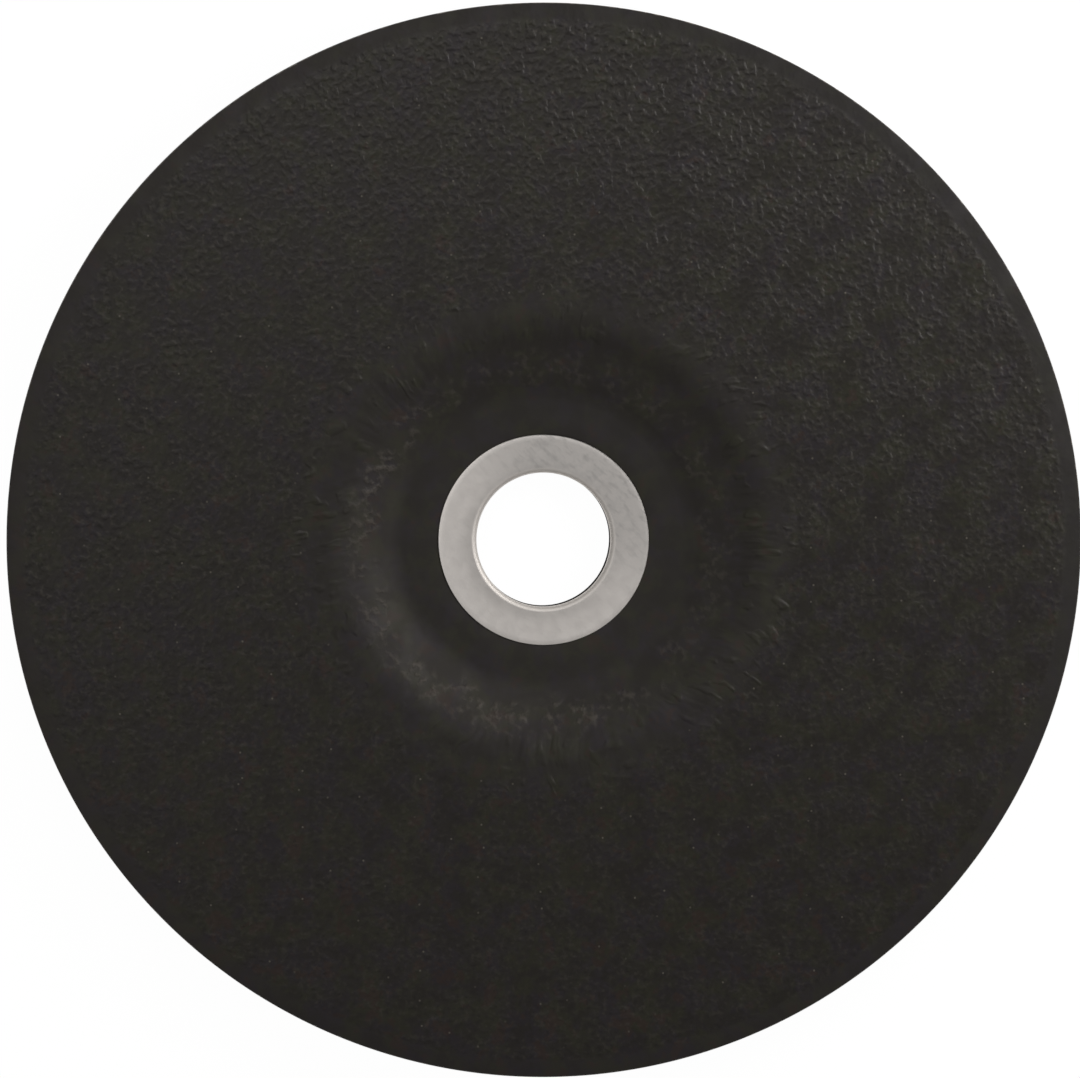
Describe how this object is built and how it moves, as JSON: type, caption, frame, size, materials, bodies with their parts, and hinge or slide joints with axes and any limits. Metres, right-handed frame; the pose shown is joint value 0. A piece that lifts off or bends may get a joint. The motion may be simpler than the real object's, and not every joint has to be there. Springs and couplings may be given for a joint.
{
  "type": "grinding disc",
  "caption": "Depressed-centre grinding disc: flat round abrasive plate with a dished middle, a raised hub behind and a flanged steel ring in its bore.",
  "frame": {"origin": "on the bore's axis, at the flat back face of the hub, on which the disc lies", "axes": "+Z along the bore's axis from the hub's back face towards the hollow working face; X and Y are free, because the disc is round"},
  "size_m": [0.178, 0.178, 0.011],
  "materials": {
    "abrasive": "matte",
    "ring_steel": "satin"
  },
  "bodies": {
    "root": {"abrasive_disc": "abrasive", "centre_ring": "ring_steel"}
  },
  "joints": []
}
